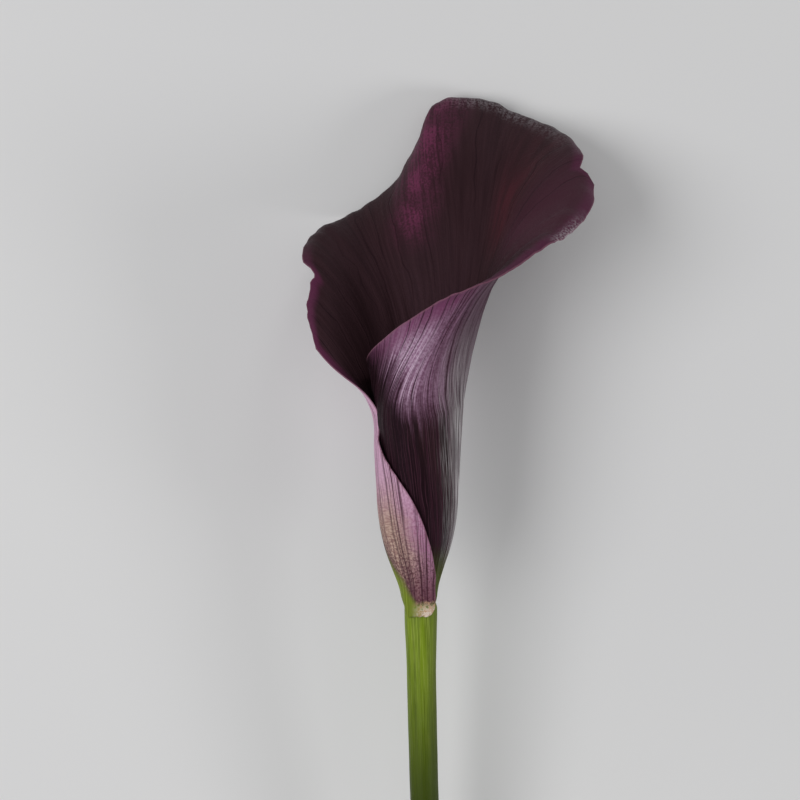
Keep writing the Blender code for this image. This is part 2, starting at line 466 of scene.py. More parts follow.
def ruffles(vein, from_rim):
    """Small waves of the rim, on the right and back."""
    fading = ease(1.0 - from_rim / RUFFLE_WIDTH) * ease((vein - RUFFLE_START) / RUFFLE_RISE)
    return RUFFLE_DEPTH * fading * waves(vein / WAVE_BEARING, *RUFFLE_WAVES)


def swells(height, vein, along):
    """Broad, soft unevenness of the limb."""
    round_limb = waves(vein / WAVE_BEARING + along / SWELL_LENGTH, *SWELL_WAVES_ROUND)
    up_limb = waves(along / SWELL_LENGTH_UP - vein / SWELL_TURN, *SWELL_WAVES_UP)
    return SWELL_DEPTH * ease((height - SWELL_START) / SWELL_RISE) * round_limb * up_limb


def curl(height, from_outer_margin, across):
    """How far the outer margin rolls inward, below the corner of the left limb."""
    fading = ease((height - CURL_START) / CURL_RISE) * ease((CURL_END - height) / CURL_FALL)
    rolled = CURL_DEPTH * fading * np.clip(1.0 - from_outer_margin / CURL_WIDTH, 0.0, 1.0) ** 2
    return rolled * (across > SHEET_MIDDLE)


def foot_flare(height, lobe):
    """The lobe's lower edge stands off the stem, and the rest of the foot closes in on it."""
    flared = LOBE_FLARE * ease((LOBE_FLARE_TOP - height) / LOBE_FLARE_HEIGHT)
    pinched = FOOT_PINCH * ease((FOOT_PINCH_HEIGHT - height) / FOOT_PINCH_HEIGHT)
    return lobe * flared - (1.0 - lobe) * pinched


def foot_drop(height, across, lobe):
    """How far the lobe hangs below the foot, with a wavy edge and a round outer corner."""
    past_corner = np.clip((across - 1.0 + LOBE_CORNER) / LOBE_CORNER, 0.0, 1.0)
    corner = 1.0 - np.sqrt(1.0 - past_corner**2)
    drop = LOBE_DROP * lobe - CORNER_LIFT * corner + FOOT_WAVE * lobe * waves(across, *FOOT_WAVES)
    return drop * ease((DROP_HEIGHT - height) / DROP_HEIGHT)


def dressed(sheet, vein):
    """The middle surface with its flutes, ruffles, curled margin and lobe at the foot."""
    across = np.linspace(0.0, 1.0, len(sheet))[:, None]
    along = travelled(sheet, 1)
    from_rim = along[:, -1:] - along
    around = travelled(sheet, 0)
    from_outer_margin = around[-1:, :] - around
    height = sheet[..., 1]
    lobe = ease((across - LOBE_START) / LOBE_EDGE)

    relief = flutes(height, vein, from_rim) + ruffles(vein, from_rim) + swells(height, vein, along)
    relief = relief - curl(height, from_outer_margin, across) + foot_flare(height, lobe)
    dressed_sheet = sheet + sheet_normal(sheet) * relief[..., None]
    dressed_sheet[..., 1] -= foot_drop(height, across, lobe)
    return dressed_sheet


def edge_loop(columns, rows):
    """Grid places round the sheet's whole edge, in order."""
    loop = [(column, 0) for column in range(columns)]
    loop += [(columns - 1, row) for row in range(1, rows)]
    loop += [(column, rows - 1) for column in range(columns - 2, -1, -1)]
    loop += [(0, row) for row in range(rows - 2, 0, -1)]
    return np.array(loop)


def grid_quads(columns, rows, first, flip):
    """Quads over a grid of vertices that starts at index first."""
    corner = first + np.arange(columns - 1)[:, None] * rows + np.arange(rows - 1)[None, :]
    corner = corner.reshape(-1)
    quads = np.stack([corner, corner + rows, corner + rows + 1, corner + 1], -1)
    return quads[:, ::-1] if flip else quads


def closed_sheet(middle, thickness):
    """A sheet thickened to both sides with a round edge: its points, its quads and the edge loop."""
    columns, rows = middle.shape[:2]
    normal = sheet_normal(middle)
    half = thickness[..., None] / 2.0
    outer = (middle + normal * half).reshape(-1, 3)
    inner = (middle - normal * half).reshape(-1, 3)
    loop = edge_loop(columns, rows)
    rim = middle[loop[:, 0], loop[:, 1]]
    rim_normal = normal[loop[:, 0], loop[:, 1]]
    rim_half = half[loop[:, 0], loop[:, 1]]
    run = np.roll(rim, -1, axis=0) - np.roll(rim, 1, axis=0)
    outward = unit(np.cross(run, rim_normal))
    rings = []
    for turn in np.linspace(0.0, math.pi, EDGE_STEPS + 1)[1:-1]:
        rings.append(rim + rim_half * (math.cos(turn) * rim_normal + math.sin(turn) * outward))
    points = np.concatenate([outer, inner] + rings)

    size = columns * rows
    count = len(loop)
    place = loop[:, 0] * rows + loop[:, 1]
    ring_index = [place]
    ring_index += [2 * size + step * count + np.arange(count) for step in range(EDGE_STEPS - 1)]
    ring_index.append(size + place)
    strips = []
    for here, there in zip(ring_index[:-1], ring_index[1:]):
        strips.append(np.stack([np.roll(here, -1), here, there, np.roll(there, -1)], -1))
    quads = [grid_quads(columns, rows, 0, False), grid_quads(columns, rows, size, True)] + strips
    return points, np.concatenate(quads), loop


def on_shell(values, loop):
    """A value of the grid repeated for the outer side, the inner side and the rings of the edge."""
    flat = values.reshape(-1)
    ring = values[loop[:, 0], loop[:, 1]]
    return np.concatenate([flat, flat] + [ring] * (EDGE_STEPS - 1))


def spathe_thickness(sheet):
    """Thickest at the foot, thinner in the limb, and tapered towards every edge."""
    along = travelled(sheet, 1)
    from_rim = along[:, -1:] - along
    around = travelled(sheet, 0)
    from_margin = np.minimum(around, around[-1:, :] - around)
    body = FOOT_THICKNESS + (LIMB_THICKNESS - FOOT_THICKNESS) * ease(sheet[..., 1] / BODY_TAPER)
    body = body - FOOT_THINNING * ease((FOOT_TAPER - sheet[..., 1]) / FOOT_TAPER)
    edge = ease(np.minimum(from_rim, from_margin) / EDGE_TAPER)
    return EDGE_THICKNESS + (body - EDGE_THICKNESS) * edge


def bake_map(columns, rows, loop):
    """Corner coordinates for baking: the two sides next to each other, and the edge round the outer one."""
    across, up = np.meshgrid(np.linspace(0.0, 1.0, columns), np.linspace(0.0, 1.0, rows), indexing="ij")
    outer = np.stack([BAKE_BORDER + BAKE_WIDTH * across, BAKE_BORDER + BAKE_HEIGHT * up], -1).reshape(-1, 2)
    inner = outer + np.array([BAKE_INNER, 0.0])
    both = np.concatenate([outer, inner])
    outer_quads = grid_quads(columns, rows, 0, False)
    inner_quads = grid_quads(columns, rows, columns * rows, True)
    sides = both[np.concatenate([outer_quads, inner_quads])].reshape(-1, 2)
    border = outer[loop[:, 0] * rows + loop[:, 1]]
    away = np.sign(np.stack([loop[:, 0] / (columns - 1), loop[:, 1] / (rows - 1)], -1) - 0.5)
    away = away * np.stack([np.isin(loop[:, 0], (0, columns - 1)), np.isin(loop[:, 1], (0, rows - 1))], -1)
    strips = []
    for step in range(EDGE_STEPS):
        here = border + away * BAKE_STRIP * step
        there = border + away * BAKE_STRIP * (step + 1)
        strips.append(np.stack([np.roll(here, -1, axis=0), here, there, np.roll(there, -1, axis=0)], 1))
    return np.concatenate([sides, np.concatenate(strips).reshape(-1, 2)])


def add_uv(mesh, name, corners):
    layer = mesh.uv_layers.new(name=name)
    layer.uv.foreach_set("vector", corners.astype(np.float32).reshape(-1))


def add_value(mesh, name, values):
    layer = mesh.attributes.new(name, "FLOAT", "POINT")
    layer.data.foreach_set("value", values.astype(np.float32).reshape(-1))


def new_mesh(name, points, quads, caps=()):
    """A smooth mesh of quads and a few many-sided caps, from points in the flower's frame in millimetres."""
    mesh = bpy.data.meshes.new(name)
    mesh.from_pydata((points * MM).tolist(), [], quads.tolist() + [list(cap) for cap in caps])
    mesh.transform(POSE)
    mesh.shade_smooth()
    place = mesh.attributes.new("place", "FLOAT_VECTOR", "POINT")
    place.data.foreach_set("vector", points.astype(np.float32).reshape(-1))
    return mesh


def spathe():
    """The spathe's mesh, with the values that its material reads."""
    sheet, vein = spathe_sheet()
    sheet = dressed(sheet, vein)
    columns, rows = sheet.shape[:2]
    points, quads, loop = closed_sheet(sheet, spathe_thickness(sheet))
    mesh = new_mesh("spathe_skin", points, quads)

    along = travelled(sheet, 1)
    around = travelled(sheet, 0)
    from_rim = along[:, -1:] - along
    from_outer = around[-1:, :] - around
    edge = np.minimum(from_rim, np.minimum(around, from_outer))
    across = np.broadcast_to(np.linspace(0.0, 1.0, columns)[:, None], edge.shape)
    phase = vein_phase(vein)
    gap = np.abs(np.gradient(around, axis=0) / np.gradient(phase, axis=0))

    add_uv(mesh, "OFBake", bake_map(columns, rows, loop))
    veins = np.stack([on_shell(phase, loop), on_shell(along / VEIN_UNIT, loop)], -1)
    add_uv(mesh, "vein", veins[quads.reshape(-1)])
    add_value(mesh, "edge", on_shell(edge, loop))
    add_value(mesh, "across", on_shell(across, loop))
    add_value(mesh, "vein_gap", on_shell(gap, loop))
    size = columns * rows
    ring_share = np.repeat(np.arange(1, EDGE_STEPS) / EDGE_STEPS, len(loop))
    add_value(mesh, "inside", np.concatenate([np.zeros(size), np.ones(size), ring_share]))
    return mesh


# ---------------------------------------------------------------- stem and spadix


def rings_along(centres, radii):
    """Rings of points round a line of centres; radii has a row for each centre and a column for each side."""
    upward = unit(np.gradient(centres, axis=0))
    right = unit(np.cross(upward, np.array([0.0, 0.0, 1.0])))
    front = np.cross(right, upward)
    turn = np.linspace(0.0, FULL_TURN, radii.shape[1], endpoint=False)
    around = np.cos(turn)[:, None, None] * right + np.sin(turn)[:, None, None] * front
    return centres + around * radii.T[..., None]


def rod_mesh(name, rings):
    """A closed rod over its rings, with a flat cap at each end."""
    sides, rows = rings.shape[:2]
    closed = np.concatenate([rings, rings[:1]])
    quads = grid_quads(sides + 1, rows, 0, True) % (sides * rows)
    caps = (np.arange(sides) * rows, np.arange(sides)[::-1] * rows + rows - 1)
    mesh = new_mesh(name, rings.reshape(-1, 3), quads, caps)
    return mesh, travelled(closed, 1)[:-1]


def stem_line(heights):
    """Centres and plain radii of the stem at some heights above the spathe's foot."""
    down = np.clip(-heights / STEM_LENGTH, 0.0, 1.0)
    radii = STEM_RADIUS + (STEM_FOOT_RADIUS - STEM_RADIUS) * ease(down)
    bow = down**STEM_BOW_POWER
    centres = np.stack([STEM_BOW_RIGHT * bow, heights, -STEM_BOW_BACK * bow], -1)
    return centres, radii


def flower_pose():
    """The matrix that lays the flower's frame on the ground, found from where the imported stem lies."""
    turn = Matrix.Rotation(ROLL, 4, "Y") @ Matrix.Rotation(PITCH, 4, "X")
    heights = np.append(np.linspace(-STEM_LENGTH, -STEM_GAP, STEM_ROWS), [0.0, STEM_NECK_HEIGHT])
    centres, radii = stem_line(heights)
    radii[heights >= 0.0] = STEM_NECK_RADIUS
    plain = rings_along(centres, np.repeat(radii[:, None], STEM_SIDES, axis=1)).reshape(-1, 3) * MM
    low = (plain @ np.array(turn.to_3x3()).T).min(axis=0)
    shift = np.array(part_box("stem")[0]) - low
    return Matrix.Translation(shift) @ turn


def stem():
    """The stem's mesh: ribbed, a little flared under the spathe, with a hollowed cut face."""
    sides = np.linspace(0.0, 1.0, STEM_FINE_SIDES, endpoint=False)[None, :]
    heights = np.linspace(-STEM_LENGTH, STEM_TOP, STEM_FINE_ROWS)
    centres, radii = stem_line(heights)
    radii = radii - STEM_WAIST + STEM_FLARE * ease(1.0 + heights / STEM_FLARE_LENGTH)
    radii = radii - STEM_TOP_NARROWING * ease(heights / STEM_TOP)
    ribs = RIB_DEPTH * waves(sides, *RIB_WAVES) + OVAL_DEPTH * waves(sides, *OVAL_WAVES)
    drift = DRIFT_DEPTH * waves(heights[:, None] / DRIFT_LENGTH + sides, *DRIFT_WAVES)
    rings = rings_along(centres, radii[:, None] + ribs + drift)
    cut = rings[:, :1]
    cut_centre = centres[0]
    inner = [cut_centre + (cut - cut_centre) * share + (0.0, depth, 0.0) for share, depth in CUT_FACE]
    rings = np.concatenate(inner + [rings[:, 1:]], axis=1)
    mesh, along = rod_mesh("stem_skin", rings)
    add_value(mesh, "turn", np.broadcast_to(sides.T, along.shape))
    cut_face = np.zeros(along.shape)
    cut_face[:, :CUT_FACE_ROWS] = 1.0
    add_value(mesh, "cut_face", cut_face)
    return mesh


def spadix():
    """The spadix's mesh, with a bump for each floret."""
    heights, radii = zip(*SPADIX_PROFILE)
    level = np.linspace(0.0, 1.0, SPADIX_FINE_ROWS)
    height = heights[-1] * (1.0 - (1.0 - level) ** SPADIX_CROWDING)
    radius = through(heights, radii, height)[:, None]
    turn = np.linspace(0.0, 1.0, SPADIX_FINE_SIDES, endpoint=False)[None, :]
    spirals_left = np.cos(FULL_TURN * (SPIRALS_LEFT * turn + height[:, None] / SPIRAL_PITCH_LEFT))
    spirals_right = np.cos(FULL_TURN * (SPIRALS_RIGHT * turn - height[:, None] / SPIRAL_PITCH_RIGHT))
    florets = spirals_left * spirals_right
    relief = FLORET_DEPTH * (florets - FLORET_SINK) * ease(height / FLORET_START)[:, None]
    centres = np.stack([0.0 * height, SPADIX_FOOT + height, 0.0 * height], -1)
    mesh, along = rod_mesh("spadix_skin", rings_along(centres, radius + relief))
    add_value(mesh, "floret", np.broadcast_to(florets.T, along.shape))
    return mesh


# ---------------------------------------------------------------- materials


def srgb(red, green, blue):
    """A colour given as it looks on a screen, 0 to 255, as the shader needs it."""
    channels = np.array([red, green, blue]) / 255.0
    linear = np.where(channels <= 0.04045, channels / 12.92, ((channels + 0.055) / 1.055) ** 2.4)
    return (*linear.tolist(), 1.0)


class Look:
    """A material's node tree, with a short call for each kind of node used here."""

    def __init__(self, name):
        self.material = bpy.data.materials.new(name)
        self.material.use_nodes = True
        self.tree = self.material.node_tree
        self.shader = self.tree.nodes["Principled BSDF"]

    def node(self, kind, inputs, **settings):
        node = self.tree.nodes.new("ShaderNode" + kind)
        for name, value in settings.items():
            setattr(node, name, value)
        for key, value in inputs.items():
            self.feed(node.inputs[key], value)
        return node

    def feed(self, socket, value):
        if isinstance(value, bpy.types.NodeSocket):
            self.tree.links.new(value, socket)
        else:
            socket.default_value = value

    def maths(self, operation, *values):
        return self.node("Math", dict(enumerate(values)), operation=operation).outputs[0]

    def rise(self, value, low, high, bottom=0.0, top=1.0):
        """A smooth step from bottom, at or below low, to top, at or above high."""
        inputs = {"Value": value, "From Min": low, "From Max": high, "To Min": bottom, "To Max": top}
        return self.node("MapRange", inputs, interpolation_type="SMOOTHSTEP").outputs[0]

    def product(self, *values):
        """All the values multiplied together."""
        total = values[0]
        for value in values[1:]:
            total = self.maths("MULTIPLY", total, value)
        return total

    def mix(self, share, first, second):
        """The first colour at a share of 0, the second at 1."""
        node = self.node("Mix", {0: share, 6: first, 7: second}, data_type="RGBA")
        return node.outputs[2]

    def two_tone(self, pattern, low, high, first, second):
        """Two screen colours: the first where the pattern is low, the second where it is high."""
        return self.mix(self.rise(pattern, low, high), srgb(*first), srgb(*second))

    def attribute(self, name):
        return self.node("Attribute", {}, attribute_name=name).outputs["Fac"]

    def flower_place(self):
        """The place in the flower's frame, in millimetres."""
        return self.node("Attribute", {}, attribute_name="place").outputs["Vector"]

    def part_of(self, vector, axis):
        return self.node("SeparateXYZ", {0: vector}).outputs[axis]

    def vector(self, x, y, z):
        return self.node("CombineXYZ", {0: x, 1: y, 2: z}).outputs[0]

    def noise(self, vector, scale, detail=3.0, roughness=0.5):
        inputs = {"Vector": vector, "Scale": scale, "Detail": detail, "Roughness": roughness}
        return self.node("TexNoise", inputs).outputs["Fac"]

    def line(self, phase, gap, thin, wide):
        """1 on a line at each half phase, fading from a half width of thin to one of wide, in millimetres."""
        away = self.maths("ABSOLUTE", self.maths("SUBTRACT", self.maths("FRACT", phase), 0.5))
        return self.rise(self.maths("MULTIPLY", away, gap), thin, wide, 1.0, 0.0)

    def bump(self, height, depth, normal=None):
        inputs = {"Height": height, "Distance": depth * MM, "Strength": 1.0}
        if normal is not None:
            inputs["Normal"] = normal
        return self.node("Bump", inputs).outputs[0]

    def finish(self, colour, roughness, normal, **sockets):
        self.feed(self.shader.inputs["Base Color"], colour)
        self.feed(self.shader.inputs["Roughness"], roughness)
        self.feed(self.shader.inputs["Normal"], normal)
        for name, value in sockets.items():
            self.shader.inputs[name.replace("_", " ")].default_value = value
        return self.material


class SpatheLook(Look):
    """The spathe's skin, painted in layers over patterns that follow its veins.

    Heights and distances are in millimetres, bearings in degrees, and the way across the
    sheet runs from 0 at the inner margin to 1 at the outer one.
    """

    def __init__(self):
        super().__init__("spathe_skin")
        self.place = self.flower_place()
        self.height = self.part_of(self.place, 1)
        self.edge = self.attribute("edge")
        self.across = self.attribute("across")
        self.inside = self.attribute("inside")
        vein_map = self.node("UVMap", {}, uv_map="vein").outputs[0]
        self.phase = self.part_of(vein_map, 0)
        self.along = self.part_of(vein_map, 1)
        self.bearing = self.maths("MULTIPLY", self.phase, 360.0 / VEIN_COUNT)

        self.fibres = self.drawn_out(7.0, 0.6, 1.0, 4.0)
        self.flecks = self.drawn_out(2.2, 22.0, 2.0, 3.0)
        self.sheen_streaks = self.drawn_out(20.0, 1.2, 3.0, 3.0)
        self.cells = self.noise(self.place, 1.7, 5.0, 0.65)
        self.clouds = self.noise(self.place, 0.13, 3.0)
        self.draw_veins()

    def drawn_out(self, across, along, layer, detail):
        """Noise drawn out along the veins: its grains per vein and per centimetre of vein."""
        grain_across = self.maths("MULTIPLY", self.phase, across)
        grain_along = self.maths("MULTIPLY", self.along, along)
        return self.noise(self.vector(grain_across, grain_along, layer), 1.0, detail)

    def draw_veins(self):
        """Veins that wander, the share of each that shows dark, and finer veins between them."""
        gap = self.attribute("vein_gap")
        wander = self.noise(self.vector(self.phase, self.along, 0.0), 0.9, 2.0)
        wandering = self.maths("MULTIPLY_ADD", wander, 0.6, self.phase)
        patch_place = self.vector(self.phase, self.maths("MULTIPLY", self.along, 0.3), 4.0)
        self.vein_patch = self.noise(patch_place, 1.3)
        self.vein = self.line(wandering, gap, 0.06, 0.30)
        self.dark_vein = self.product(self.vein, self.rise(self.vein_patch, 0.35, 0.6, 0.25, 1.0))
        fine_gap = self.maths("MULTIPLY", gap, 0.25)
        fine = self.line(self.maths("MULTIPLY", wandering, 4.0), fine_gap, 0.02, 0.15)
        self.fine_vein = self.product(fine, self.rise(self.fibres, 0.35, 0.6, 0.0, 0.5))

    # Outer side.

    def plum(self):
        """Dark plum, deeper towards the inner margin as painted shade, where the fold turns in beside the
        left limb.
        """
        plum = self.two_tone(self.fibres, 0.3, 0.7, (26, 14, 14), (50, 33, 34))
        # Painted shade: the plum darkens towards the inner margin, where the fold lies in the left limb's
        # shade.
        return self.mix(self.rise(self.across, 0.20, 0.30, 0.95, 0.0), plum, srgb(22, 7, 12))

    def with_lilac_fold_and_highlight(self, outer):
        """Lilac on the front fold, brushed along the veins, with a painted highlight: a bright band on the
        slant.
        """
        brushed = self.maths("MULTIPLY_ADD", self.fibres, 0.6, self.maths("MULTIPLY", self.cells, 0.4))
        lilac = self.two_tone(brushed, 0.38, 0.62, (92, 54, 76), (146, 108, 136))
        # Painted highlight: near-white lilac in the band, standing in for the key light's gloss on the fold.
        painted_highlight = self.two_tone(brushed, 0.38, 0.62, (144, 102, 134), (216, 188, 212))
        slant = self.maths("MULTIPLY_ADD", self.maths("MINIMUM", self.across, 0.25), 115.0, self.height)
        slant = self.maths("MULTIPLY_ADD", self.clouds, 8.0, slant)
        slant = self.maths("MULTIPLY_ADD", self.fibres, 22.0, slant)
        highlight_band = self.product(
            self.rise(slant, 88.0, 99.0),
            self.rise(slant, 102.0, 118.0, 0.9, 0.1),
            self.rise(self.across, 0.24, 0.33, 1.0, 0.15),
        )
        lilac = self.mix(highlight_band, lilac, painted_highlight)
        lilac = self.mix(self.rise(self.edge, 1.5, 8.0, 0.8, 0.0), lilac, srgb(118, 62, 98))
        share = self.product(self.rise(slant, 83.0, 97.0), self.rise(self.across, 0.30, 0.44, 1.0, 0.35))
        return self.mix(share, outer, lilac)

    def with_painted_rim_light(self, outer):
        """Painted rim light on the right side of the tube: a silvery reflection in fine streaks, ragged at
        their ends.
        """
        streaky_bearing = self.maths("MULTIPLY_ADD", self.sheen_streaks, 60.0, self.bearing)
        streaky_height = self.maths("MULTIPLY_ADD", self.sheen_streaks, 30.0, self.height)
        rim_light_share = self.product(
            self.rise(streaky_bearing, 56.0, 98.0),
            self.rise(self.bearing, 84.0, 116.0, 1.0, 0.0),
            self.rise(streaky_height, 25.0, 33.0),
            self.rise(streaky_height, 50.0, 92.0, 1.0, 0.0),
            self.rise(self.fibres, 0.3, 0.55, 0.5, 1.0),
        )
        # Painted reflection: silvery grey where the right side of the tube catches light from behind it.
        rim_light_colour = self.two_tone(self.sheen_streaks, 0.36, 0.66, (92, 84, 88), (222, 218, 220))
        return self.mix(rim_light_share, outer, rim_light_colour)

    def lobe(self):
        """Share of the pale outer lobe, at the foot of the outer margin."""
        return self.product(self.rise(self.across, 0.74, 0.83), self.rise(self.height, 50.0, 72.0, 1.0, 0.15))

    def with_pale_lobe(self, outer, lobe):
        """The lobe: pink above and along its margin, tan and flecked below, mottled at its tip."""
        tan = self.two_tone(self.flecks, 0.35, 0.65, (164, 130, 122), (204, 176, 160))
        pink = self.two_tone(self.cells, 0.3, 0.7, (156, 98, 132), (206, 160, 190))
        pink = self.mix(self.rise(self.height, 18.0, 32.0, 0.0, 0.6), pink, srgb(226, 186, 212))
        near_margin = self.rise(self.maths("MULTIPLY_ADD", self.clouds, 6.0, self.edge), 3.0, 12.0, 1.0, 0.0)
        pinkness = self.maths("MAXIMUM", near_margin, self.rise(self.height, 18.0, 34.0))
        colour = self.mix(pinkness, tan, pink)
        colour = self.mix(self.rise(self.height, 2.0, 13.0, 0.8, 0.0), colour, srgb(106, 64, 72))
        mottled = self.product(self.rise(self.cells, 0.45, 0.6), self.rise(self.height, 7.0, 24.0, 0.85, 0.0))
        colour = self.mix(mottled, colour, srgb(88, 46, 54))
        return self.mix(lobe, outer, colour)

    def with_outer_veins(self, outer, lobe):
        """Dark veins all over the outer side, stronger on the lobe, and thin lines between them."""
        lobe_vein = self.product(self.vein, lobe, self.rise(self.vein_patch, 0.3, 0.6, 0.45, 1.0))
        share = self.maths("MULTIPLY", self.maths("MAXIMUM", self.dark_vein, lobe_vein), 0.9)
        outer = self.mix(share, outer, self.mix(lobe, srgb(44, 20, 30), srgb(58, 26, 36)))
        thin_share = self.product(self.fine_vein, self.rise(lobe, 0.0, 1.0, 1.0, 1.5))
        return self.mix(thin_share, outer, srgb(80, 46, 60))

    def with_green_foot(self, outer):
        """Stem green at the foot, which reaches less far up on the lobe."""
        green_top = self.rise(self.across, 0.74, 0.90, 14.0, 3.0)
        level = self.maths("DIVIDE", self.maths("MULTIPLY_ADD", self.clouds, 3.0, self.height), green_top)
        green = self.two_tone(self.fibres, 0.3, 0.7, (96, 114, 24), (138, 154, 54))
        green = self.mix(self.rise(self.across, 0.40, 0.65, 0.75, 0.0), green, srgb(58, 66, 36))
        return self.mix(self.rise(level, 0.5, 1.25, 1.0, 0.0), outer, green)

    def with_papery_tip(self, outer):
        """The dry, pale lower edge of the lobe."""
        ragged_height = self.maths("MULTIPLY_ADD", self.cells, 9.0, self.height)
        low = self.rise(ragged_height, 4.4, 6.6, 1.0, 0.0)
        papery = self.product(low, self.rise(self.across, 0.84, 0.95))
        dry = self.two_tone(self.cells, 0.4, 0.6, (196, 158, 124), (240, 222, 208))
        return self.mix(papery, outer, dry)

    # Inner side.

    def with_painted_backlight_glow(self, inner):
        """A dull red glow painted on the right of the limb, standing in for light shining through it from
        behind.
        """
        backlight_glow = self.product(
            self.rise(self.across, 0.56, 0.60),
            self.rise(self.across, 0.61, 0.65, 1.0, 0.0),
            self.rise(self.height, 80.0, 92.0),
            self.rise(self.height, 98.0, 110.0, 1.0, 0.3),
            self.rise(self.fibres, 0.3, 0.65, 0.2, 0.6),
        )
        # Painted light: wine red where light would pass through the thin limb.
        return self.mix(backlight_glow, inner, srgb(80, 33, 42))

    def with_plum_rim(self, inner):
        """A lighter plum towards the right of the rim."""
        plum = self.product(
            self.rise(self.across, 0.40, 0.50),
            self.rise(self.across, 0.54, 0.60, 0.8, 0.0),
            self.rise(self.height, 78.0, 90.0),
        )
        return self.mix(plum, inner, srgb(74, 42, 54))

    def with_painted_magenta_highlight(self, inner):
        """A speckled magenta highlight, painted, that climbs the back of the limb on the slant, where its
        rolled left edge faces the key light.
        """
        slant = self.maths("MULTIPLY_ADD", self.height, 0.00135, self.across)
        from_middle = self.maths("ABSOLUTE", self.maths("SUBTRACT", slant, 0.873))
        # Painted highlight: magenta speckles standing in for light glancing off the cells.
        highlight_band = self.product(
            self.rise(from_middle, 0.0, 0.042, 1.0, 0.0),
            self.rise(self.height, 82.0, 96.0),
            self.rise(self.maths("ADD", self.cells, self.fibres), 0.85, 1.15, 0.25, 1.0),
            self.rise(self.clouds, 0.35, 0.6, 0.5, 1.0),
        )
        return self.mix(highlight_band, inner, srgb(110, 50, 80))

    def with_tinted_margin(self, inner):
        """A plum edging on the left and the right of the mouth."""
        left = self.rise(self.across, 0.86, 0.92)
        right = self.rise(self.across, 0.56, 0.62, 0.7, 0.0)
        tinted = self.product(self.maths("MAXIMUM", left, right), self.rise(self.edge, 1.0, 4.0, 0.9, 0.0))
        return self.mix(tinted, inner, srgb(92, 42, 70))

    # Both sides.

    def outer_colour(self):
        lobe = self.lobe()
        outer = self.plum()
        outer = self.with_lilac_fold_and_highlight(outer)
        outer = self.with_painted_rim_light(outer)
        outer = self.with_pale_lobe(outer, lobe)
        outer = self.with_outer_veins(outer, lobe)
        outer = self.with_green_foot(outer)
        return self.with_papery_tip(outer)

    def inner_colour(self):
        inner = self.two_tone(self.fibres, 0.2, 0.8, (44, 27, 30), (57, 37, 41))
        inner = self.with_painted_backlight_glow(inner)
        inner = self.with_plum_rim(inner)
        inner = self.with_painted_magenta_highlight(inner)
        inner = self.mix(self.maths("MULTIPLY", self.dark_vein, 0.4), inner, srgb(24, 9, 14))
        return self.with_tinted_margin(inner)

    def with_painted_sheen_specks(self, colour):
        """Pale specks of painted sheen along the rim, at its right and along its top, where the rolled edge
        catches light at a grazing angle.
        """
        right = self.product(
            self.rise(self.bearing, 74.0, 82.0),
            self.rise(self.bearing, 86.0, 95.0, 0.6, 0.0),
            self.rise(self.edge, 0.4, 3.0, 1.0, 0.0),
        )
        top = self.product(
            self.rise(self.bearing, 126.0, 142.0),
            self.rise(self.bearing, 158.0, 172.0, 0.32, 0.0),
            self.rise(self.edge, 5.0, 10.5, 1.0, 0.0),
        )
        specks = self.rise(self.maths("MULTIPLY_ADD", self.sheen_streaks, 0.4, self.cells), 0.60, 0.84)
        # Painted sheen: whitish specks standing in for grazing light on the rim.
        painted_sheen = self.product(self.maths("MAXIMUM", right, top), specks)
        return self.mix(painted_sheen, colour, srgb(188, 180, 186))

    def relief(self):
        """Fine relief: fibres, mostly on the outer side, with cells and sunken veins on both."""
        fibres = self.product(self.fibres, self.rise(self.inside, 0.0, 1.0, 1.0, 0.2))
        veins = self.maths("ADD", self.dark_vein, self.fine_vein)
        grain = self.maths("MULTIPLY_ADD", veins, -0.8, self.cells)
        return self.bump(grain, 0.10, self.bump(fibres, 0.10))


def spathe_material():
    look = SpatheLook()
    colour = look.mix(look.inside, look.outer_colour(), look.inner_colour())
    colour = look.mix(look.rise(look.edge, 0.0, 0.3, 0.5, 0.0), colour, srgb(140, 96, 112))
    return look.finish(
        look.with_painted_sheen_specks(colour),
        look.rise(look.cells, 0.3, 0.7, 0.46, 0.60),
        look.relief(),
        Specular_IOR_Level=0.12,
        Specular_Tint=srgb(240, 196, 226),
        Sheen_Weight=0.05,
        Sheen_Roughness=0.3,
        Sheen_Tint=srgb(235, 220, 235),
    )


def stem_material():
    """Streaked green, darker down the stem, with painted shade on its right, and with pith and bundles on the
    cut face.
    """
    look = Look("stem_skin")
    place = look.flower_place()
    height = look.part_of(place, 1)
    angle = look.maths("MULTIPLY", look.attribute("turn"), FULL_TURN)
    to_right = look.maths("COSINE", angle)
    circle = look.vector(look.maths("SINE", angle), to_right, look.maths("MULTIPLY", height, 0.006))
    streaks = look.noise(circle, 5.0, 4.0, 0.6)
    fine = look.noise(circle, 18.0, 4.0, 0.6)
    cells = look.noise(place, 3.0, 3.0)

    green = look.two_tone(streaks, 0.35, 0.65, (96, 116, 6), (124, 148, 26))
    pale = look.product(look.rise(fine, 0.45, 0.66, 0.0, 0.8), look.rise(height, -60.0, 0.0, 0.25, 1.0))
    green = look.mix(pale, green, srgb(162, 180, 74))
    # Painted shade: the stem's right side darkened, away from the key light.
    green = look.mix(look.rise(to_right, 0.1, 1.0, 0.0, 0.6), green, srgb(74, 84, 4))
    green = look.mix(look.rise(height, -50.0, -4.0, 0.95, 0.0), green, srgb(50, 64, 0))
    pith = look.two_tone(look.noise(place, 2.2, 2.0), 0.5, 0.62, (160, 176, 104), (104, 124, 52))
    green = look.mix(look.rise(look.attribute("cut_face"), 0.2, 0.8), green, pith)
    return look.finish(
        green,
        look.rise(fine, 0.3, 0.7, 0.35, 0.5),
        look.bump(cells, 0.02, look.bump(fine, 0.10)),
        Specular_IOR_Level=0.15,
    )


